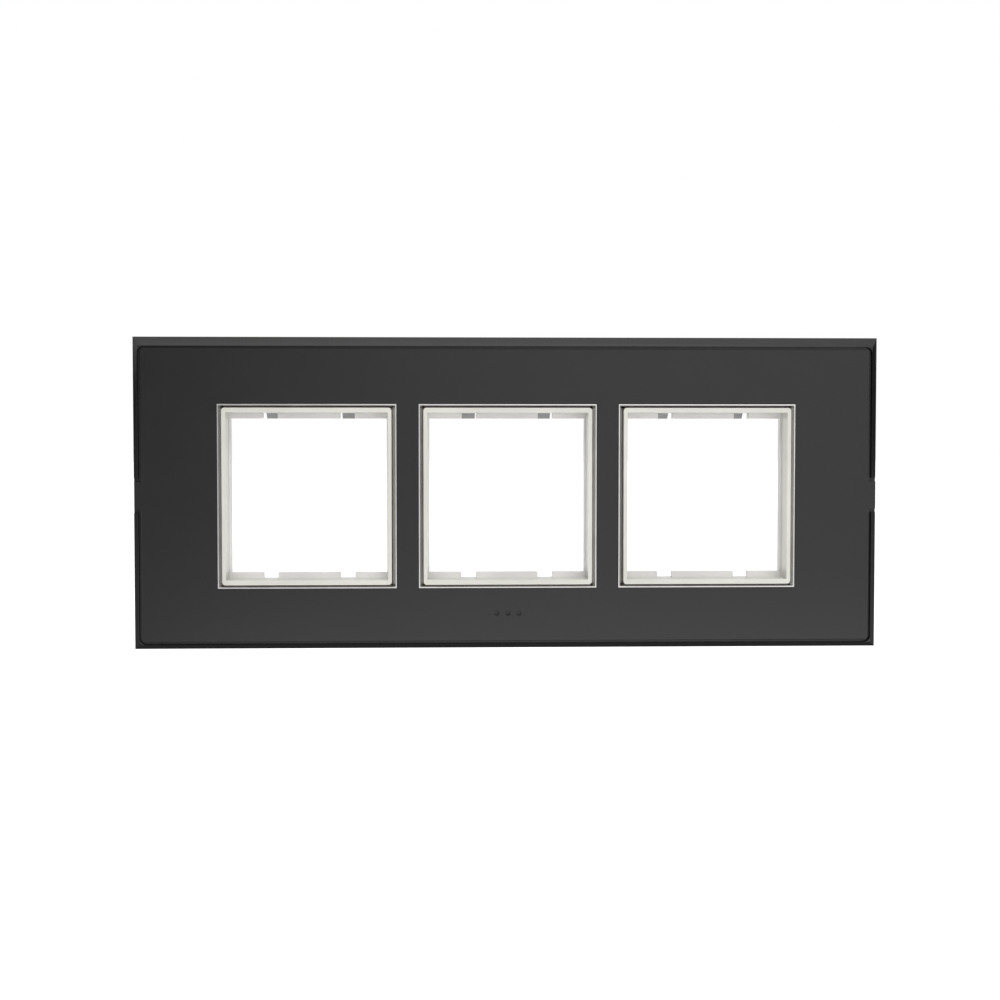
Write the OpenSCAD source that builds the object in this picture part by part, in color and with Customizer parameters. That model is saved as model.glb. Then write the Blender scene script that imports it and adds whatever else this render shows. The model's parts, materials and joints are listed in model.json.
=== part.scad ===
// Three-window modular wall plate: a clip-on cover over a mounting frame that is screwed to a wall box.
// X is the width and Z the height. The wall is the plane Y = 0 and the room is on its -Y side.
// The origin is the centre of the middle window on the wall plane, which is also the middle of the box screws.
// A "depth" is a distance in front of the wall, towards the room; a negative depth lies inside the box.

/* [Cover] */
// Overall width of the cover
cover_w = 215.8; // [214.6:0.2:222]
// Height of the face panel
face_h = 84.8; // [84.6:0.2:88]
// Height of the panel's middle above the windows' centre line
face_z = 0.2; // [0:0.1:0.4]
// Distance from the wall to the panel's face
face_d = 9.4; // [9.2:0.1:11]
// Thickness of the face panel
panel_t = 1.6; // [1.2:0.1:1.8]
// Radius of the panel's corners
panel_r = 1.2; // [0.6:0.1:2]
// Chamfer round the panel's face
panel_chamfer = 0.2; // [0.2:0.1:0.8]
// Width of the rim and groove above the panel
margin_top = 3.4; // [2.4:0.1:3.6]
// Width of the rim and groove beside the panel
margin_side = 2.2; // [1.7:0.1:2.4]
// Width of the rim and groove below the panel
margin_bottom = 2.0; // [1.6:0.1:2.4]
// Width of the shadow groove round the panel
groove_w = 0.8; // [0.5:0.1:1]
// How far the rim's crest lies below the panel's face
rim_drop = 0.4; // [0.2:0.1:0.8]
// Depth that the sloped band of the rim falls through
rim_fall = 0.8; // [0.5:0.1:2.4]
// Thickness of the cover's side walls
skirt_t = 1.2; // [1:0.1:1.4]
// Thickness of the web that carries the panel
web_t = 1.6; // [1.2:0.1:1.8]
// Gap between the cover's back edge and the wall
skirt_gap = 0.3; // [0.2:0.1:0.6]

/* [Marks] */
// Radius of the three small dimples under the middle window
dimple_r = 0.75; // [0.4:0.05:0.8]
// Spacing of the dimples
dimple_pitch = 3.2; // [2.5:0.1:4]
// Height of the dimples, from the windows' centre line
dimple_z = -34; // [-38:0.2:-30]
// Depth of a dimple
dimple_depth = 1; // [0.3:0.1:1]

/* [Pry ears] */
// Height of the flush ear on each side
ear_h = 8; // [6:0.1:12]
// Height of the notch at each end of an ear
ear_notch_h = 1; // [0.5:0.1:1.4]
// Height of the screwdriver recess in the side wall
pry_h = 7; // [5:0.5:10]
// Depth of the screwdriver recess
pry_d = 2.4; // [1.5:0.1:3]

/* [Windows] */
// Distance between the windows' centres
window_pitch = 58; // [57:0.1:58.2]
// Width of the clear opening for two modules
opening_w = 45.6; // [45.2:0.1:45.8]
// Height of the clear opening, between the lips
opening_h = 45.2; // [45.2:0.1:46]
// Height of the lip above and below the opening
lip_h = 1.6; // [1:0.1:1.6]
// Width of the ledge beside the opening
ledge_w = 0.5; // [0.2:0.1:0.6]
// Outer width of the surround
surround_w = 48.8; // [48.4:0.1:49.2]
// Outer height of the surround
surround_h = 51.2; // [51:0.1:51.6]
// Outer corner radius of the surround
surround_r = 0.9; // [0.4:0.1:1.4]
// How far the surround stands out from the panel's face
surround_proud = 1.2; // [0.6:0.1:2]
// Outer width of the trim ring
trim_w = 51.6; // [51.6:0.1:52.4]
// Outer height of the trim ring
trim_h = 53.3; // [53.2:0.1:54]
// Width of the trim ring's front edge
trim_edge = 0.35; // [0.25:0.05:0.5]
// How far the trim ring stands out from the panel's face
trim_proud = 0.3; // [0.1:0.1:0.6]

/* [Mounting frame] */
// Width of the frame
frame_w = 206; // [204:1:208]
// Height of the frame
frame_h = 80; // [78:0.5:81]
// Thickness of the frame
frame_t = 2.6; // [2.6:0.1:3]
// Radius of the frame's corners
frame_r = 3; // [1:0.5:6]
// Height of the frame's edge wall in front of the frame
edge_h = 2; // [1:0.1:2.4]
// Thickness of the frame's ribs and edge wall
rib_t = 1.4; // [1:0.1:1.8]

/* [Module latches] */
// Width of a latch's finger
latch_w = 4; // [3:0.1:5]
// Length of the pivot barrel
barrel_l = 7; // [6:0.1:8]
// Radius of the pivot barrel
barrel_r = 0.85; // [0.7:0.05:0.9]
// Reach of the finger behind the wall plane
latch_reach = 8; // [6:0.5:10]
// Thickness of the finger
latch_t = 1.2; // [1:0.1:1.4]

/* [Box screws] */
// Distance between the screws along the width
screw_dx = 184; // [180:1:188]
// Distance between the screws along the height
screw_dz = 60; // [56:1:62]
// Radius over the thread
thread_r = 1.75; // [1.75:0.25:2]
// Length under the head
screw_l = 25; // [18:1:40]
// Radius of the head
head_r = 3.4; // [3:0.1:3.6]
// Height of the head
head_h = 2.1; // [1.8:0.1:2.2]
// Length of the fixing slots in the frame
slot_l = 7.2; // [5:0.1:9]
// Outer radius of a washer
washer_r = 4.2; // [4:0.1:4.5]
// Thickness of a washer
washer_t = 0.8; // [0.6:0.1:1]

/* [Hidden] */
$fn = 48;
past = 1; // how far a cutter runs past the face that it cuts
fit = 0.1; // gap between fixed pieces that slip together
clear = 0.3; // gap between the cover's hooks and the mounting frame

// Cover
face_w = cover_w - 2 * margin_side;
face_lo = face_z - face_h / 2;
face_hi = face_z + face_h / 2;
cover_lo = face_lo - margin_bottom;
cover_hi = face_hi + margin_top;
cover_h = cover_hi - cover_lo;
crest_w = face_w + 2 * groove_w;
crest_h = face_h + 2 * groove_w;
crest_d = face_d - rim_drop;
band_d = crest_d - rim_fall; // where the sloped band meets the side walls
web_d = face_d - panel_t; // front of the web
web_back = web_d - web_t;
ear_inset = 0.3; // from the cover's sides to the ends of the ears
hook_w = 10;
hook_t = 1.2;
hook_end = 1.0; // depth of the hook's tip
barb_h = 0.5;
stiffener_z = 35;
stiffener_l = 190;
stiffener_h = 1.5;

// Windows
recess_w = opening_w + 2 * ledge_w; // inside width of a surround
recess_h = opening_h + 2 * lip_h; // inside height of a surround
surround_d = face_d + surround_proud;
trim_clear = 0.2; // gap between a trim ring and the surround that it passes
trim_in_w = surround_w + 2 * trim_clear;
trim_in_h = surround_h + 2 * trim_clear;
trim_wall = 0.4;
seat_w = trim_in_w + 2 * trim_wall + 2 * fit; // hole in the web for the trim's skirt
seat_h = trim_in_h + 2 * trim_wall + 2 * fit;
flange_h = 1.2;
flange_rim = 1.8;
flange_w = surround_w + 2 * flange_rim;
flange_l = surround_h + 2 * flange_rim;
peg_t = 1.2;
peg_w = 4;
peg_z = 15;
peg_x = surround_w / 2 + flange_rim / 2; // middle of the pegs' thickness
peg_end = 0.4; // depth of the pegs' tips
peg_barb = 0.4;

// Latches
module_w = 22.5; // width of one module
latch_z = recess_h / 2 + 0.9; // height of the pivot
latch_d = 1.55; // depth of the pivot
running = 0.05; // radial clearance of the pivot
hook_drop = latch_z - opening_h / 2 - 0.1; // how far the latch's hook reaches below the pivot

// Screws
seat_gap = 0.05; // under the heads, so that they turn freely
head_d = frame_t + washer_t + seat_gap; // depth of the underside of a head
neck_r = thread_r - 0.25;
tip_l = 1.2;
neck_end = -0.3; // the full thread starts just behind the frame
slot_r = thread_r + 0.35;

// A shape drawn in X and Z, swept from depth d0 to depth d1
module sweep(d0, d1) {
    translate([0, -d0, 0]) rotate([90, 0, 0]) linear_extrude(d1 - d0) children();
}

// A shape drawn in Y and Z, swept along X and centred on it
module sweep_x(length) {
    translate([-length / 2, 0, 0]) rotate([90, 0, 90]) linear_extrude(length) children();
}

module rect(w, h) {
    square([w, h], center = true);
}

module round_rect(w, h, r) {
    rect(w - 2 * r, h);
    rect(w, h - 2 * r);
    for (sx = [-1, 1], sz = [-1, 1])
        translate([sx * (w / 2 - r), sz * (h / 2 - r)]) circle(r);
}

module slot_shape(length, r) {
    rect(length - 2 * r, 2 * r);
    for (s = [-1, 1])
        translate([s * (length / 2 - r), 0]) circle(r);
}

// A block with four sloped sides, w0 by h0 at depth d0 and w1 by h1 at depth d1
module tapered_block(w0, h0, d0, w1, h1, d1) {
    intersection() {
        translate([0, 0, -max(h0, h1) / 2])
            linear_extrude(max(h0, h1))
                polygon([[-w0 / 2, -d0], [w0 / 2, -d0], [w1 / 2, -d1], [-w1 / 2, -d1]]);
        sweep_x(max(w0, w1))
            polygon([[-d0, -h0 / 2], [-d0, h0 / 2], [-d1, h1 / 2], [-d1, -h1 / 2]]);
    }
}

module at_windows() {
    for (i = [-1, 0, 1])
        translate([i * window_pitch, 0, 0]) children();
}

// The middle of each module's width in a window
module at_modules() {
    for (s = [-1, 1])
        translate([s * module_w / 2, 0, 0]) children();
}

module at_screws() {
    for (sx = [-1, 1], sz = [-1, 1])
        translate([sx * screw_dx / 2, 0, sz * screw_dz / 2]) children();
}

// ---------------------------------------------------------------- cover

// Side walls and sloped rim, before the inside is cut away
module cover_block() {
    intersection() {
        translate([0, 0, cover_lo])
            linear_extrude(cover_h)
                polygon([
                    [-cover_w / 2, -skirt_gap], [cover_w / 2, -skirt_gap], [cover_w / 2, -band_d],
                    [crest_w / 2, -crest_d], [-crest_w / 2, -crest_d], [-cover_w / 2, -band_d]
                ]);
        sweep_x(cover_w)
            polygon([
                [-skirt_gap, cover_lo], [-band_d, cover_lo], [-crest_d, face_lo - groove_w],
                [-crest_d, face_hi + groove_w], [-band_d, cover_hi], [-skirt_gap, cover_hi]
            ]);
    }
}

module cover_cavity() {
    inside_w = cover_w - 2 * skirt_t;
    inside_h = cover_h - 2 * skirt_t;
    translate([-inside_w / 2, -web_back, cover_lo + skirt_t])
        cube([inside_w, web_back + past, inside_h]);
}

// A leg on the web's back whose barb faces the frame's edge wall
module snap_hook() {
    sweep_x(hook_w)
        polygon([
            [-web_back - past / 2, 0], [-hook_end - 1.4, 0], [-hook_end - 0.9, -barb_h],
            [-hook_end - 0.5, -barb_h], [-hook_end, 0.2], [-hook_end, hook_t],
            [-web_back - past / 2, hook_t]
        ]);
}

module snap_hooks() {
    at_windows() {
        translate([0, 0, frame_h / 2 + clear + barb_h]) snap_hook();
        mirror([0, 0, 1])
            translate([0, 0, frame_h / 2 + clear + barb_h]) snap_hook();
    }
}

module cover_frame() {
    color("#2b2b2d")
        difference() {
            union() {
                difference() {
                    cover_block();
                    cover_cavity();
                    translate([0, 0, face_z])
                        sweep(web_d, crest_d + past)
                            round_rect(crest_w, crest_h, panel_r + groove_w);
                    // gaps in the rim for the panel's ears, with a notch left at each end of an ear
                    translate([0, 0, face_z])
                        sweep(web_d, crest_d + past)
                            rect(cover_w + past, ear_h + 2 * ear_notch_h);
                }
                for (s = [-1, 1])
                    translate([0, 0, s * stiffener_z])
                        sweep(web_back - stiffener_h, web_back + past / 2) rect(stiffener_l, rib_t);
                snap_hooks();
            }
            at_windows() sweep(0, face_d) rect(seat_w, seat_h);
            for (s = [-1, 1])
                translate([s * cover_w / 2, 0, face_z])
                    sweep(skirt_gap - past, skirt_gap + pry_d) rect(2 * skirt_t * 0.6, pry_h);
        }
}

module panel_plate() {
    chamfer_d = face_d - panel_chamfer; // where the chamfer begins
    intersection() {
        sweep(web_d, face_d) round_rect(face_w, face_h, panel_r);
        union() {
            sweep(web_d - past, chamfer_d) rect(face_w + past, face_h + past);
            tapered_block(
                face_w, face_h, chamfer_d - 0.001,
                face_w - 2 * panel_chamfer, face_h - 2 * panel_chamfer, face_d
            );
        }
    }
}

// The ears lie over the rim, flush with the panel's face
module face_panel() {
    color("#3a393a")
        difference() {
            translate([0, 0, face_z]) {
                panel_plate();
                sweep(web_d, face_d)
                    difference() {
                        rect(cover_w - 2 * ear_inset, ear_h);
                        rect(face_w - 2, ear_h + past);
                    }
            }
            at_windows()
                sweep(web_d - past, face_d + past) rect(trim_w + 2 * fit, trim_h + 2 * fit);
            for (i = [-1, 0, 1])
                translate([i * dimple_pitch, 0, dimple_z])
                    sweep(face_d - dimple_depth, face_d + past) circle(dimple_r);
        }
}

// Silver ring: a raised edge, a slope down to the surround, and a skirt clipped behind the web
module window_trim(i) {
    front = face_d + trim_proud;
    skirt_end = web_back - 0.7;
    slope_d = 1.0;
    barb_l = 6;
    color("#c9cacb")
        translate([i * window_pitch, 0, 0])
            difference() {
                union() {
                    sweep(web_d, front) rect(trim_w, trim_h);
                    sweep(skirt_end, web_d + past / 2)
                        rect(trim_in_w + 2 * trim_wall, trim_in_h + 2 * trim_wall);
                    for (sx = [-1, 1], sz = [-1, 1])
                        translate([sx * module_w / 2, 0, sz * (trim_in_h / 2 + trim_wall)])
                            sweep(skirt_end, web_back - fit) rect(barb_l, 0.7);
                }
                sweep(skirt_end - past, front + past) rect(trim_in_w, trim_in_h);
                tapered_block(
                    trim_in_w, trim_in_h, front - slope_d,
                    trim_w - 2 * trim_edge, trim_h - 2 * trim_edge, front + 0.001
                );
            }
}

// ---------------------------------------------------------------- mounting frame

module peg(barb_side) {
    sweep(peg_end, frame_t + past / 2) rect(peg_t, peg_w);
    translate([barb_side * peg_barb, 0, 0])
        sweep(peg_end, peg_end + 0.6) rect(peg_t, peg_w);
}

// Cream collar round two modules, pegged to the frame
module module_surround(i) {
    color("#e6e3d6")
        translate([i * window_pitch, 0, 0])
            difference() {
                union() {
                    sweep(frame_t, surround_d) round_rect(surround_w, surround_h, surround_r);
                    sweep(frame_t, frame_t + flange_h) rect(flange_w, flange_l);
                    for (sx = [-1, 1], sz = [-1, 1])
                        translate([sx * peg_x, 0, sz * peg_z]) peg(sx);
                }
                sweep(frame_t - past, surround_d + past) rect(recess_w, recess_h);
            }
}

// Everything cut from the frame at one window
module window_cuts() {
    sweep(-past, frame_t + past) rect(opening_w, opening_h);
    at_modules() {
        // open notches in the lower lip
        translate([0, 0, -recess_h / 2 + lip_h / 2])
            sweep(-past, frame_t + past) rect(latch_w + 0.3, lip_h + 0.01);
        // slots for the latches' fingers, open through the upper lip
        finger_hi = latch_z + latch_t / 2 + 0.7;
        translate([0, 0, (opening_h / 2 - 0.01 + finger_hi) / 2])
            sweep(-past, frame_t + past) rect(latch_w + 0.3, finger_hi - opening_h / 2 + 0.01);
        // cradle for the pivot barrel, open to the front
        translate([0, -latch_d, latch_z])
            rotate([0, 90, 0]) cylinder(r = barrel_r + running, h = barrel_l + 0.2, center = true);
        translate([0, 0, latch_z])
            sweep(latch_d, frame_t + past) rect(barrel_l + 0.2, 2 * (barrel_r + running));
    }
    for (sx = [-1, 1], sz = [-1, 1])
        translate([sx * peg_x, 0, sz * peg_z]) {
            sweep(-past, frame_t + past) rect(peg_t + 2 * fit, peg_w + 2 * fit);
            translate([sx * peg_barb, 0, 0])
                sweep(-past, peg_end + 0.6 + fit) rect(peg_t + 2 * fit, peg_w + 2 * fit);
        }
}

// Low wall that locates a surround's flange
module fence() {
    sweep(frame_t - past / 2, frame_t + flange_h)
        difference() {
            rect(flange_w + 2 * fit + 2 * rib_t, flange_l + 2 * fit + 2 * rib_t);
            rect(flange_w + 2 * fit, flange_l + 2 * fit);
        }
}

// Pockets in the back of the frame's two ends, which leave a grid of ribs
module end_pockets() {
    columns = 2;
    rows = 4;
    end_in = window_pitch + flange_w / 2 + rib_t + 0.6;
    end_out = frame_w / 2 - rib_t;
    zone_h = screw_dz - 2 * washer_r - 2 * rib_t;
    cell_w = (end_out - end_in) / columns;
    cell_h = zone_h / rows;
    for (s = [-1, 1], c = [0 : columns - 1], r = [0 : rows - 1])
        translate([s * (end_in + (c + 0.5) * cell_w), 0, -zone_h / 2 + (r + 0.5) * cell_h])
            sweep(-past, frame_t - rib_t) rect(cell_w - rib_t, cell_h - rib_t);
}

module mounting_frame() {
    color("#f1f1ee")
        difference() {
            union() {
                sweep(0, frame_t) round_rect(frame_w, frame_h, frame_r);
                sweep(frame_t - past / 2, frame_t + edge_h)
                    difference() {
                        round_rect(frame_w, frame_h, frame_r);
                        rect(frame_w - 2 * rib_t, frame_h - 2 * rib_t);
                    }
                at_windows() fence();
                // ribs between the edge wall and the fences
                for (x = [-window_pitch / 2, window_pitch / 2], s = [-1, 1])
                    translate([x, 0, s * (frame_h / 2 + flange_l / 2) / 2])
                        sweep(frame_t - past / 2, frame_t + flange_h)
                            rect(rib_t, frame_h / 2 - flange_l / 2 - rib_t);
            }
            at_windows() window_cuts();
            at_screws() sweep(-past, frame_t + past) slot_shape(slot_l, slot_r);
            end_pockets();
        }
}

// Rocking catch for one module, in the notch of the upper lip
module module_latch(i, s) {
    lead = 2.2; // length of the ramp
    tooth = 0.8; // length of the flat behind the ramp
    color("#a9abab")
        translate([i * window_pitch + s * module_w / 2, -latch_d, latch_z]) {
            rotate([0, 90, 0]) cylinder(r = barrel_r, h = barrel_l, center = true);
            sweep_x(latch_w)
                polygon([
                    [0, latch_t / 2], [0, -latch_t / 2],
                    [latch_d + latch_reach - tooth - lead, -latch_t / 2],
                    [latch_d + latch_reach - tooth, -hook_drop], [latch_d + latch_reach, -hook_drop],
                    [latch_d + latch_reach, latch_t / 2]
                ]);
        }
}

// Pan-head machine screw with a cross recess, its axis along Y
module box_screw(sx, sz) {
    arm_w = 0.9; // one arm of the cross recess
    arm_l = 3.8;
    recess_depth = 1.3;
    top_d = head_d + head_h;
    end_y = screw_l - head_d;
    color("#c4c6c8")
        translate([sx * screw_dx / 2, 0, sz * screw_dz / 2])
            difference() {
                rotate([-90, 0, 0])
                    rotate_extrude()
                        polygon([
                            [0, -top_d], [head_r * 0.62, -top_d], [head_r * 0.88, -top_d + 0.35],
                            [head_r, -top_d + 0.95], [head_r, -head_d], [neck_r, -head_d],
                            [neck_r, -neck_end], [thread_r, -neck_end],
                            [thread_r, end_y - tip_l], [thread_r * 0.55, end_y], [0, end_y]
                        ]);
                for (a = [0, 90])
                    rotate([0, a, 0])
                        sweep(top_d - recess_depth, top_d + past) rect(arm_l, arm_w);
            }
}

module screw_washers() {
    color("#e9e9e4")
        at_screws()
            sweep(frame_t, frame_t + washer_t)
                difference() {
                    circle(washer_r);
                    circle(neck_r + 0.08);
                }
}

mounting_frame();
module_surround(-1);  // module_surround_left
module_surround(0);  // module_surround_centre
module_surround(1);  // module_surround_right
module_latch(-1, -1);  // module_latch_left_1
module_latch(-1, 1);  // module_latch_left_2
module_latch(0, -1);  // module_latch_centre_1
module_latch(0, 1);  // module_latch_centre_2
module_latch(1, -1);  // module_latch_right_1
module_latch(1, 1);  // module_latch_right_2
box_screw(-1, 1);  // box_screw_upper_left
box_screw(1, 1);  // box_screw_upper_right
box_screw(-1, -1);  // box_screw_lower_left
box_screw(1, -1);  // box_screw_lower_right
screw_washers();
cover_frame();
face_panel();
window_trim(-1);  // window_trim_left
window_trim(0);  // window_trim_centre
window_trim(1);  // window_trim_right
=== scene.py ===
"""Looks for the three-window wall plate: finishes, softened moulded edges, threaded screws, light, camera."""

import json
import math

import bmesh
import bpy
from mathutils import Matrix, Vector


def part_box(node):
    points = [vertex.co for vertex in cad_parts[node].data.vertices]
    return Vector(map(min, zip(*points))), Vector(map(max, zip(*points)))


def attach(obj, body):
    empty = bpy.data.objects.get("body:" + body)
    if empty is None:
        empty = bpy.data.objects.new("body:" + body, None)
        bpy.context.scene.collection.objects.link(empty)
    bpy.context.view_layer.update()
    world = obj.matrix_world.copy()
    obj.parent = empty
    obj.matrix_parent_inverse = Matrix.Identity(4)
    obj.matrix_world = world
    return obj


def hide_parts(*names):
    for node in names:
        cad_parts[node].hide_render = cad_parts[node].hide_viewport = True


MM = 0.001

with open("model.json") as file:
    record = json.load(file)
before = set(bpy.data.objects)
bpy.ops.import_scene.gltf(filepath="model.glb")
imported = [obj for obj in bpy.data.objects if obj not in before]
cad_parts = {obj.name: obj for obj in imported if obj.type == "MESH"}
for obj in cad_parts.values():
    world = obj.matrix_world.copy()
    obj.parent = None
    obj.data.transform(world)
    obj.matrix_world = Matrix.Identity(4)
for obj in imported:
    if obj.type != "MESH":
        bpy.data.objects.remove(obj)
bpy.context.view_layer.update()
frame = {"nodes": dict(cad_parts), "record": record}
nodes = frame["nodes"]
record = frame["record"]


# ---------------------------------------------------------------- camera

LENS_MM = 56
SENSOR_MM = 36
CAMERA_PLACE = (-0.018, -0.460, 0.0165)  # a little left of the plate's middle and above it
CAMERA_TURN = math.radians(2.0)  # towards the plate's right
CAMERA_DIP = math.radians(2.235)  # below the level


def add_camera():
    """A camera in front of the plate, just off its axis, looking slightly down."""
    data = bpy.data.cameras.new("camera")
    data.lens = LENS_MM
    data.sensor_width = SENSOR_MM
    camera = bpy.data.objects.new("camera", data)
    bpy.context.scene.collection.objects.link(camera)
    camera.location = CAMERA_PLACE
    camera.rotation_euler = (math.radians(90) - CAMERA_DIP, 0, -CAMERA_TURN)
    bpy.context.scene.camera = camera


add_camera()


# ---------------------------------------------------------------- shader helpers

FULLY_AWAY = 0.12  # how far a rounded normal leans off the true one before an edge counts in full


class Nodes:
    """A node tree, with short calls for the nodes that the finishes and the world share."""

    def __init__(self, tree):
        self.tree = tree

    def add(self, kind, **settings):
        node = self.tree.nodes.new(kind)
        for key, value in settings.items():
            setattr(node, key, value)
        return node

    def feed(self, socket, value):
        """Links another node's output to the socket, or sets a plain value on it."""
        if isinstance(value, bpy.types.NodeSocket):
            self.tree.links.new(value, socket)
        else:
            socket.default_value = value

    def remap(self, value, low, high, out_low=0.0, out_high=1.0):
        """Goes smoothly from out_low at low to out_high at high, and stays level beyond them."""
        node = self.add("ShaderNodeMapRange", interpolation_type="SMOOTHSTEP")
        self.feed(node.inputs["Value"], value)
        for name, number in (("From Min", low), ("From Max", high), ("To Min", out_low), ("To Max", out_high)):
            node.inputs[name].default_value = number
        return node.outputs["Result"]

    def math(self, operation, a, b=0.0):
        node = self.add("ShaderNodeMath", operation=operation)
        self.feed(node.inputs[0], a)
        self.feed(node.inputs[1], b)
        return node.outputs[0]

    def mix(self, amount, a, b, kind="RGBA"):
        node = self.add("ShaderNodeMix", data_type=kind)
        self.feed(node.inputs["Factor"], amount)
        self.feed(node.inputs["A"], a)
        self.feed(node.inputs["B"], b)
        return node.outputs["Result"]


class Shader(Nodes):
    """One material's node tree."""

    def __init__(self, name):
        self.material = bpy.data.materials.new(name)
        self.material.use_nodes = True
        super().__init__(self.material.node_tree)
        self.bsdf = next(n for n in self.tree.nodes if n.type == "BSDF_PRINCIPLED")
        self.place = self.add("ShaderNodeTexCoord").outputs["Object"]
        self.normal = None

    def noise(self, size, detail=2.0, roughness=0.5):
        """Noise whose features are about size metres across."""
        node = self.add("ShaderNodeTexNoise")
        self.feed(node.inputs["Vector"], self.place)
        node.inputs["Scale"].default_value = 1 / size
        node.inputs["Detail"].default_value = detail
        node.inputs["Roughness"].default_value = roughness
        return node.outputs["Fac"]

    def cells(self, size):
        """Distance to the nearest of many scattered points, size metres apart."""
        node = self.add("ShaderNodeTexVoronoi")
        self.feed(node.inputs["Vector"], self.place)
        node.inputs["Scale"].default_value = 1 / size
        return node.outputs["Distance"]

    def edges(self, radius):
        """1 along corners and edges, falling to 0 on flat stretches."""
        bevel = self.add("ShaderNodeBevel", samples=6)
        bevel.inputs["Radius"].default_value = radius
        dot = self.add("ShaderNodeVectorMath", operation="DOT_PRODUCT")
        self.feed(dot.inputs[0], bevel.outputs["Normal"])
        self.feed(dot.inputs[1], self.add("ShaderNodeNewGeometry").outputs["Normal"])
        return self.remap(self.math("SUBTRACT", 1.0, dot.outputs["Value"]), 0.0, FULLY_AWAY)

    def bump(self, height, depth):
        """Adds a bump, depth metres high, to the ones before it."""
        node = self.add("ShaderNodeBump")
        node.inputs["Strength"].default_value = 1.0
        node.inputs["Distance"].default_value = depth
        self.feed(node.inputs["Height"], height)
        if self.normal is not None:
            self.feed(node.inputs["Normal"], self.normal)
        self.normal = node.outputs["Normal"]

    def done(self, colour, roughness, metallic=0.0, ior=1.5):
        """Sets the surface and returns the finished material."""
        self.feed(self.bsdf.inputs["Base Color"], colour)
        self.feed(self.bsdf.inputs["Roughness"], roughness)
        self.bsdf.inputs["Metallic"].default_value = metallic
        self.bsdf.inputs["IOR"].default_value = ior
        if self.normal is not None:
            self.feed(self.bsdf.inputs["Normal"], self.normal)
        return self.material


def grey(value, warm=0.0):
    """A near-neutral linear colour; warm moves it towards yellow."""
    return (value * (1 + warm), value, value * (1 - warm), 1.0)


# ---------------------------------------------------------------- finishes

DARKER_SHARE = 0.9  # the darker of a plastic's two shades, as a share of the lighter one
SMOOTHER, ROUGHER = -0.012, 0.016  # how far slow clouds move a plastic's roughness
RUBBED_SMOOTHER = 0.08  # how much smoother a handled edge is
WAVINESS = 1.0e-6  # the slight waviness of a moulded face, in metres


def moulded_plastic(name, colour, worn, rough, grain, grain_depth, cloud=0.02, edge=0.25 * MM, ior=1.5):
    """Moulded plastic: two close shades in slow clouds, a fine spark-eroded grain and edges rubbed smoother."""
    s = Shader(name)
    clouds = s.noise(cloud, detail=4.0, roughness=0.6)
    darker = [channel * DARKER_SHARE for channel in colour[:3]] + [1.0]
    shade = s.mix(s.remap(clouds, 0.3, 0.7), darker, colour)
    rubbed = s.math("MULTIPLY", s.edges(edge), s.remap(s.noise(3 * MM), 0.3, 0.6, 0.3, 1.0))
    shade = s.mix(rubbed, shade, worn)
    slow = s.remap(s.noise(8 * MM, detail=3.0), 0.3, 0.7, rough + SMOOTHER, rough + ROUGHER)
    handled = s.math("MULTIPLY", rubbed, RUBBED_SMOOTHER)
    s.bump(s.noise(2.5 * MM), WAVINESS)
    s.bump(s.cells(grain), grain_depth)
    s.bump(s.noise(grain * 0.6, detail=1.0), grain_depth * 0.6)
    return s.done(shade, s.math("SUBTRACT", slow, handled), ior=ior)


def plated_trim(name):
    """Satin-bright plating with a very fine grain and slight clouding."""
    s = Shader(name)
    clouds = s.remap(s.noise(6 * MM, detail=3.0), 0.3, 0.7)
    shade = s.mix(clouds, grey(0.58, 0.01), grey(0.64, 0.005))
    grain = s.noise(0.12 * MM)
    rough = s.remap(grain, 0.3, 0.7, 0.16, 0.26)
    s.bump(grain, 0.6e-6)
    s.bump(s.noise(1.5 * MM), 2e-6)
    return s.done(shade, rough, metallic=1.0)


def zinc_steel(name):
    """Zinc-plated steel: faint blue and straw passivation, scuffed on its crests."""
    s = Shader(name)
    tint = s.remap(s.noise(1.6 * MM, detail=3.0), 0.35, 0.65)
    shade = s.mix(tint, (0.56, 0.59, 0.63, 1.0), (0.64, 0.61, 0.52, 1.0))
    shade = s.mix(s.edges(0.12 * MM), shade, grey(0.74))
    s.bump(s.cells(0.08 * MM), 1.2e-6)
    rough = s.remap(s.noise(0.4 * MM, detail=3.0), 0.3, 0.7, 0.26, 0.42)
    return s.done(shade, rough, metallic=1.0)


SIDES = ("left", "centre", "right")
SURROUNDS = [f"module_surround_{side}" for side in SIDES]
TRIMS = [f"window_trim_{side}" for side in SIDES]
LATCHES = [f"module_latch_{side}_{number}" for side in SIDES for number in (1, 2)]

GRAPHITE_COLOUR = (0.0090, 0.0085, 0.0088, 1)
CREAM_COLOUR, CREAM_WORN = (0.80, 0.79, 0.72, 1), (0.84, 0.83, 0.78, 1)
NYLON_COLOUR = (0.78, 0.77, 0.71, 1)

PANEL = moulded_plastic(
    "panel_graphite_finish", GRAPHITE_COLOUR, grey(0.014), 0.29, 0.22 * MM, 3e-6, cloud=0.03, ior=1.45
)
COVER = moulded_plastic("cover_dark_finish", grey(0.0060), grey(0.010), 0.29, 0.20 * MM, 2.5e-6, ior=1.45)
CREAM = moulded_plastic("surround_cream_finish", CREAM_COLOUR, CREAM_WORN, 0.30, 0.30 * MM, 1.5e-6)
WHITE = moulded_plastic("frame_white_finish", grey(0.90, 0.01), grey(0.93), 0.42, 0.25 * MM, 3e-6)
LATCH = moulded_plastic("latch_grey_finish", grey(0.40), grey(0.48), 0.36, 0.20 * MM, 1.5e-6, cloud=3 * MM)
NYLON = moulded_plastic("washer_nylon_finish", NYLON_COLOUR, grey(0.85), 0.5, 0.2 * MM, 2e-6, cloud=3 * MM)
SILVER = plated_trim("trim_silver_finish")
STEEL = zinc_steel("screw_steel_finish")


# ---------------------------------------------------------------- moulded edges on the CAD pieces

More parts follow.
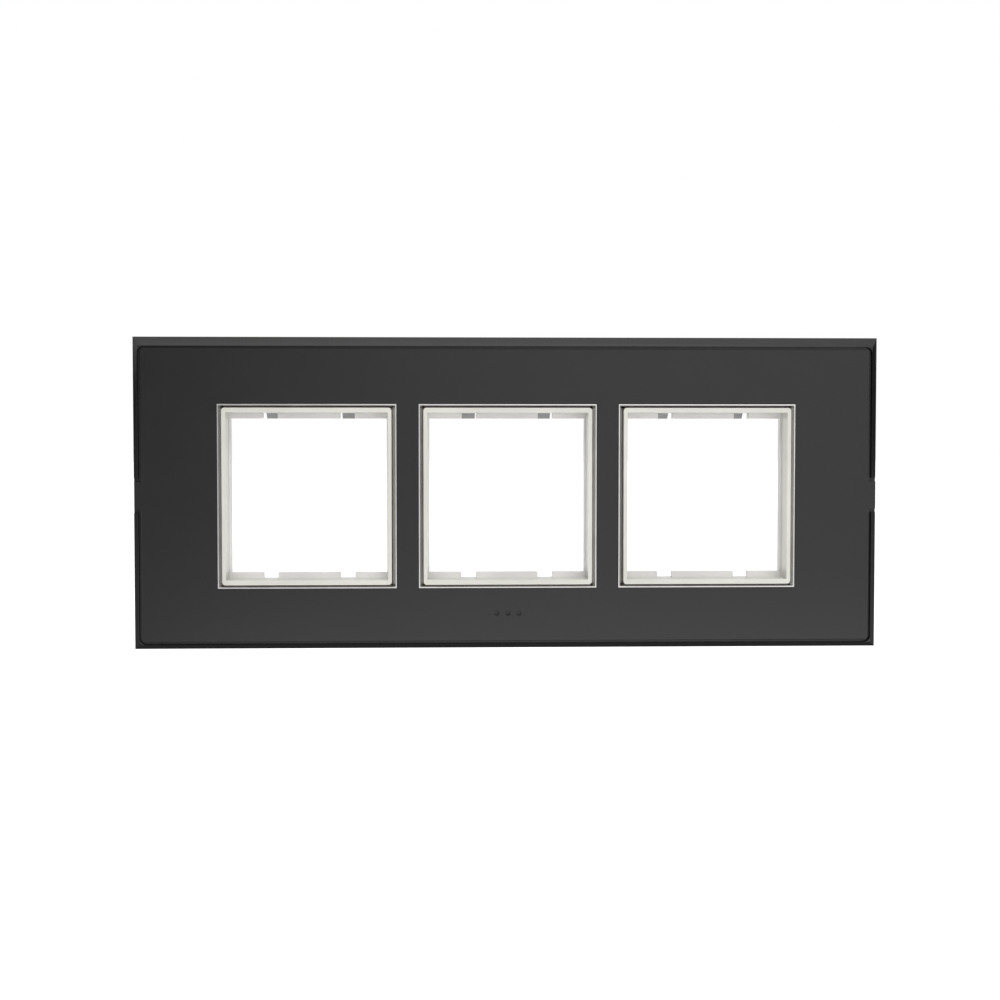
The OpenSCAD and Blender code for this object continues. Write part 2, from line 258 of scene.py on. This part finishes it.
WELD_GAP = 5e-6  # closes the hairline gaps that the CAD mesh has at the panel's ears
FLAT_ANGLE = math.radians(0.5)  # faces that lie within this of each other are made one
SHARP_ANGLE = math.radians(35)  # edges sharper than this are rounded
ROUND_SEGMENTS = 2
FACE_WEIGHT = 100


def soften(node, radius):
    """Rounds a CAD piece's edges with modifiers, which leave its own mesh as it is."""
    piece = nodes[node]
    weld = piece.modifiers.new("weld", "WELD")
    weld.merge_threshold = WELD_GAP
    flat = piece.modifiers.new("flat faces", "DECIMATE")
    flat.decimate_type = "DISSOLVE"
    flat.angle_limit = FLAT_ANGLE
    bevel = piece.modifiers.new("edge radius", "BEVEL")
    bevel.width = radius
    bevel.segments = ROUND_SEGMENTS
    bevel.limit_method = "ANGLE"
    bevel.angle_limit = SHARP_ANGLE
    bevel.use_clamp_overlap = True
    normals = piece.modifiers.new("normals", "WEIGHTED_NORMAL")
    normals.weight = FACE_WEIGHT


for names, material, radius in (
    (["face_panel"], PANEL, 0.08 * MM),
    (["cover_frame"], COVER, 0.15 * MM),
    (TRIMS, SILVER, 0.06 * MM),
    (SURROUNDS, CREAM, 0.25 * MM),
    (["mounting_frame"], WHITE, 0.12 * MM),
    (LATCHES, LATCH, 0.12 * MM),
    (["screw_washers"], NYLON, 0.10 * MM),
):
    for name in names:
        for slot in nodes[name].material_slots:
            slot.material = material
        soften(name, radius)


# ---------------------------------------------------------------- threaded screws

PITCH = 0.6 * MM
THREAD_DEPTH = 0.61 * PITCH
TURN_STEPS = 32
# the rows that make one pitch: how far along the pitch each lies, and whether it is on the crest
THREAD_PHASES = ((0.0, 0), (0.25, 0), (0.5625, 1), (0.6875, 1))
RUN_IN_PITCHES = 1.5  # the thread rises to its full depth over this many pitches
THREAD_START = 0.3 * MM  # where the plain neck has narrowed to the thread's root
FIRST_ROW = THREAD_START + 0.05 * MM
LAST_ROW_GAP = 0.15 * MM  # from the thread's end to the screw's

HEAD_HEIGHT = 2.1 * MM
DOME_HEIGHT = 0.95 * MM
DOME_FLAT = 0.55  # radius of the dome's flat top, as a share of the head's
DOME_STEPS = 8
HEAD_CHAMFER = 0.12 * MM
NECK_RADIUS = 1.5 * MM
NECK_CHAMFER = 0.1 * MM
NECK_TAPER = 0.15 * MM  # length over which the neck narrows to the thread's root
TIP_LENGTH = 1.2 * MM
TIP_SHARE = 0.55  # radius of the tip, as a share of the crest's
TIP_CHAMFER = 0.1 * MM

RECESS_DEPTH = 1.3 * MM
ARM_TOP = (1.9 * MM, 0.45 * MM)  # half the length and width of a recess's arm at the head's top
ARM_BOTTOM = (ARM_TOP[0] * 0.45, ARM_TOP[1] * 0.7)
CUT_ABOVE = 0.5 * MM  # how far the cutter stands out of the head

SMOOTH_ANGLE = math.radians(32)


def mesh_object(name, bm):
    mesh = bpy.data.meshes.new(name)
    bm.to_mesh(mesh)
    bm.free()
    piece = bpy.data.objects.new(name, mesh)
    bpy.context.scene.collection.objects.link(piece)
    return piece


def on_circle(bm, axis, radius, y, step):
    """One vertex of a circle round a screw's axis."""
    angle = 2 * math.pi * step / TURN_STEPS
    return bm.verts.new((axis[0] + radius * math.cos(angle), y, axis[1] + radius * math.sin(angle)))


def ring(bm, axis, radius, y):
    """A circle of vertices round a screw's axis."""
    return [on_circle(bm, axis, radius, y, j) for j in range(TURN_STEPS)]


def join_rings(bm, a, b):
    for j in range(len(a)):
        k = (j + 1) % len(a)
        bm.faces.new((a[j], a[k], b[k], b[j]))


def thread_vertices(bm, axis, start, end, crest, tip_radius):
    """Rows of vertices along the helix. Each row climbs one pitch in a turn."""
    turns = int((end - start) / PITCH) - 1
    per_pitch = len(THREAD_PHASES)
    root = crest - THREAD_DEPTH
    rows = []
    for i in range(turns * per_pitch + 1):
        phase, raised = THREAD_PHASES[i % per_pitch]
        row = []
        for j in range(TURN_STEPS):
            y = start + PITCH * (i // per_pitch + phase + j / TURN_STEPS)
            run_in = min(1, (y - start) / PITCH / RUN_IN_PITCHES)
            run_out = min(1, max(0, (end - y) / PITCH))
            cone = tip_radius + (crest - tip_radius) * (end - y) / TIP_LENGTH
            radius = min(root + THREAD_DEPTH * raised * run_in * run_out, max(cone, tip_radius))
            row.append(on_circle(bm, axis, radius, y, j))
        rows.append(row)
    return rows


def thread_faces(bm, rows, first_ring, last_ring):
    """Faces between the rows, and between them and the plain rings at both ends."""
    per_pitch = len(THREAD_PHASES)
    top = len(rows) - 1
    last = TURN_STEPS - 1

    def at(i, j):
        return rows[i][j] if j <= last else rows[i + per_pitch][0]

    for i in range(top):
        for j in range(TURN_STEPS):
            if j < last or i + 1 + per_pitch <= top:
                bm.faces.new((at(i, j), at(i, j + 1), at(i + 1, j + 1), at(i + 1, j)))
    for j in range(last):
        bm.faces.new((first_ring[j], first_ring[j + 1], rows[0][j + 1], rows[0][j]))
        bm.faces.new((rows[top][j], rows[top][j + 1], last_ring[j + 1], last_ring[j]))
    climb_in = [rows[i][0] for i in range(per_pitch + 1)]
    bm.faces.new([first_ring[last], first_ring[0], *climb_in, rows[0][last]])
    climb_out = [rows[top - i][last] for i in range(per_pitch)]
    bm.faces.new([rows[top - per_pitch][last], rows[top][0], last_ring[0], last_ring[last], *climb_out])


def tapered_bar(name, centre, top_y, top_size, bottom_size):
    """A bar that narrows with depth: one arm of a cross recess."""
    bm = bmesh.new()
    sections = ((top_y - CUT_ABOVE, top_size), (top_y, top_size), (top_y + RECESS_DEPTH, bottom_size))
    levels = []
    for y, (half_x, half_z) in sections:
        corners = ((-half_x, -half_z), (half_x, -half_z), (half_x, half_z), (-half_x, half_z))
        levels.append([bm.verts.new((centre[0] + x, y, centre[1] + z)) for x, z in corners])
    for a, b in zip(levels, levels[1:]):
        join_rings(bm, a, b)
    bm.faces.new(levels[0])
    bm.faces.new(levels[-1])
    bmesh.ops.recalc_face_normals(bm, faces=bm.faces)
    return mesh_object(name, bm)


def cut_with(piece, cutters):
    """Cuts each cutter from the piece for good, and removes the cutters."""
    for cutter in cutters:
        cut = piece.modifiers.new("cut", "BOOLEAN")
        cut.operation = "DIFFERENCE"
        cut.solver = "EXACT"
        cut.object = cutter
    result = bpy.data.meshes.new_from_object(piece.evaluated_get(bpy.context.evaluated_depsgraph_get()))
    piece.modifiers.clear()
    piece.data = result
    for cutter in cutters:
        bpy.data.objects.remove(cutter)


def head_profile(head_radius, top, root):
    """Radius and height of each ring, from the dome's flat top to the thread's root."""
    seat = top + HEAD_HEIGHT
    leans = [math.radians(90) * step / DOME_STEPS for step in range(DOME_STEPS + 1)]
    dome = [
        (head_radius * (DOME_FLAT + (1 - DOME_FLAT) * math.sin(lean)), top + DOME_HEIGHT * (1 - math.cos(lean)))
        for lean in leans
    ]
    return dome + [
        (head_radius, seat - HEAD_CHAMFER),
        (head_radius - HEAD_CHAMFER, seat),
        (NECK_RADIUS + NECK_CHAMFER, seat),
        (NECK_RADIUS, seat + NECK_CHAMFER),
        (NECK_RADIUS, THREAD_START - NECK_TAPER),
        (root, THREAD_START),
    ]


def threaded_screw(position):
    """A pan-head machine screw with a rolled thread and a cross recess, in place of the plain CAD screw."""
    node = f"box_screw_{position}"
    low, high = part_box(node)
    axis = ((low.x + high.x) / 2, (low.z + high.z) / 2)
    top, end = low.y, high.y
    crest = next(m for m in record["mounts"] if m["name"] == "box_screws")["dims"]["stud_r_mm"] * MM
    tip_radius = crest * TIP_SHARE

    bm = bmesh.new()
    head = [
        ring(bm, axis, radius, y)
        for radius, y in head_profile((high.x - low.x) / 2, top, crest - THREAD_DEPTH)
    ]
    for a, b in zip(head, head[1:]):
        join_rings(bm, a, b)
    bm.faces.new(head[0])
    rows = thread_vertices(bm, axis, FIRST_ROW, end - LAST_ROW_GAP, crest, tip_radius)
    last_ring = ring(bm, axis, tip_radius, end - TIP_CHAMFER)
    thread_faces(bm, rows, head[-1], last_ring)
    end_ring = ring(bm, axis, tip_radius - TIP_CHAMFER, end)
    join_rings(bm, last_ring, end_ring)
    bm.faces.new(end_ring)
    bmesh.ops.recalc_face_normals(bm, faces=bm.faces)
    screw = mesh_object(f"threaded_screw_{position}", bm)

    across = tapered_bar("arm_a", axis, top, ARM_TOP, ARM_BOTTOM)
    upright = tapered_bar("arm_b", axis, top, ARM_TOP[::-1], ARM_BOTTOM[::-1])
    cut_with(screw, [across, upright])
    for polygon in screw.data.polygons:
        polygon.use_smooth = True
    screw.data.set_sharp_from_angle(angle=SMOOTH_ANGLE)
    screw.data.materials.clear()
    screw.data.materials.append(STEEL)
    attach(screw, f"screw_{position}")
    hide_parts(node)


for position in ("upper_left", "upper_right", "lower_left", "lower_right"):
    threaded_screw(position)


# ---------------------------------------------------------------- floor and light

FLOOR_Z = -0.16
FLOOR_HALF = 12.0
FLOOR_GREY = grey(0.5)
FLOOR_ROUGHNESS = 0.9
FLOOR_GLOW = 0.95  # far from the plate, and wherever the camera sees the floor directly
FLOOR_GLOW_NEAR_FAR = (0.20, 0.70)  # distance over which that glow comes up
FLOOR_GLOW_BEHIND = (0.02, 0.20)  # distance behind the wall's plane over which the floor comes up to 1
FLOOR_GLOW_X = 0.3  # the glow's middle line
FLOOR_GLOW_SIDES = (0.15, 0.65)  # distance from that line over which the glow falls off
FLOOR_SIDE_SHARE = 0.40

# how bright the surroundings are in each direction
FRONT_LEFT, FRONT_RIGHT = 0.08, 1.52
BESIDE, BEHIND = 0.06, 0.9
ABOVE_BACK, ABOVE_FRONT, ABOVE_SIDES, OVERHEAD = 0.4, 2.25, 0.2, 0.5
SEEN_BY_CAMERA = 1.0


def add_floor():
    """A pale floor that lights the plate from afar and looks white to the camera."""
    bm = bmesh.new()
    bmesh.ops.create_grid(bm, x_segments=8, y_segments=8, size=FLOOR_HALF)
    for vertex in bm.verts:
        vertex.co.z = FLOOR_Z
    floor = mesh_object("studio_floor", bm)
    s = Shader("studio_floor_finish")
    distance = s.add("ShaderNodeVectorMath", operation="LENGTH")
    s.feed(distance.inputs[0], s.place)
    split = s.add("ShaderNodeSeparateXYZ")
    s.feed(split.inputs[0], s.place)
    far = s.remap(distance.outputs["Value"], *FLOOR_GLOW_NEAR_FAR, 0.0, FLOOR_GLOW)
    aside = s.math("ABSOLUTE", s.math("SUBTRACT", split.outputs["X"], FLOOR_GLOW_X))
    far = s.math("MULTIPLY", far, s.remap(aside, *FLOOR_GLOW_SIDES, 1.0, FLOOR_SIDE_SHARE))
    glow = s.math("MAXIMUM", far, s.remap(split.outputs["Y"], *FLOOR_GLOW_BEHIND))
    is_seen = s.add("ShaderNodeLightPath").outputs["Is Camera Ray"]
    lit = s.math("MAXIMUM", glow, s.math("MULTIPLY", is_seen, FLOOR_GLOW))
    s.bsdf.inputs["Emission Color"].default_value = (1, 1, 1, 1)
    s.feed(s.bsdf.inputs["Emission Strength"], lit)
    s.bsdf.inputs["Specular IOR Level"].default_value = 0.0
    floor.data.materials.append(s.done(FLOOR_GREY, FLOOR_ROUGHNESS))


def add_world():
    """Soft light: bright above the front, a broad glow at the front right, dim beside the plate."""
    world = bpy.data.worlds.new("studio")
    bpy.context.scene.world = world
    world.use_nodes = True
    world.node_tree.nodes.clear()
    w = Nodes(world.node_tree)
    axes = w.add("ShaderNodeSeparateXYZ")
    w.feed(axes.inputs[0], w.add("ShaderNodeTexCoord").outputs["Generated"])
    x, y, z = (axes.outputs[name] for name in "XYZ")

    def blend(axis, start, full, before, after):
        """Turns from one brightness to another as the direction's axis goes from start to full."""
        return w.mix(w.remap(axis, start, full), before, after, kind="FLOAT")

    front = blend(x, -0.26, 0.07, FRONT_LEFT, FRONT_RIGHT)
    level = blend(y, -0.75, -0.92, BESIDE, front)
    level = blend(y, 0.6, 0.95, level, BEHIND)
    above = blend(y, 0.2, -0.3, ABOVE_BACK, ABOVE_FRONT)
    above = blend(w.math("ABSOLUTE", x), 0.40, 0.65, above, ABOVE_SIDES)
    above = blend(z, 0.72, 0.92, above, OVERHEAD)
    whole = blend(z, 0.38, 0.62, level, above)
    is_seen = w.add("ShaderNodeLightPath").outputs["Is Camera Ray"]
    background = w.add("ShaderNodeBackground")
    w.feed(background.inputs["Color"], (1, 1, 1, 1))
    w.feed(background.inputs["Strength"], w.mix(is_seen, whole, SEEN_BY_CAMERA, kind="FLOAT"))
    output = w.add("ShaderNodeOutputWorld")
    w.feed(output.inputs["Surface"], background.outputs[0])


def add_softbox(name, location, size, power):
    """A rectangular lamp that points at the middle of the plate, and that the camera doesn't see."""
    data = bpy.data.lights.new(name, "AREA")
    data.shape = "RECTANGLE"
    data.size, data.size_y = size
    data.energy = power
    light = bpy.data.objects.new(name, data)
    bpy.context.scene.collection.objects.link(light)
    light.location = location
    light.rotation_euler = (-Vector(location)).to_track_quat("-Z", "Y").to_euler()
    light.visible_camera = False


add_floor()
add_world()
add_softbox("overhead", (0.1, -0.60, 0.9), (1.0, 0.6), 2.0)
add_softbox("low front", (0.05, -0.28, -0.15), (0.45, 0.12), 0.32)
bpy.context.scene.view_settings.view_transform = "Standard"
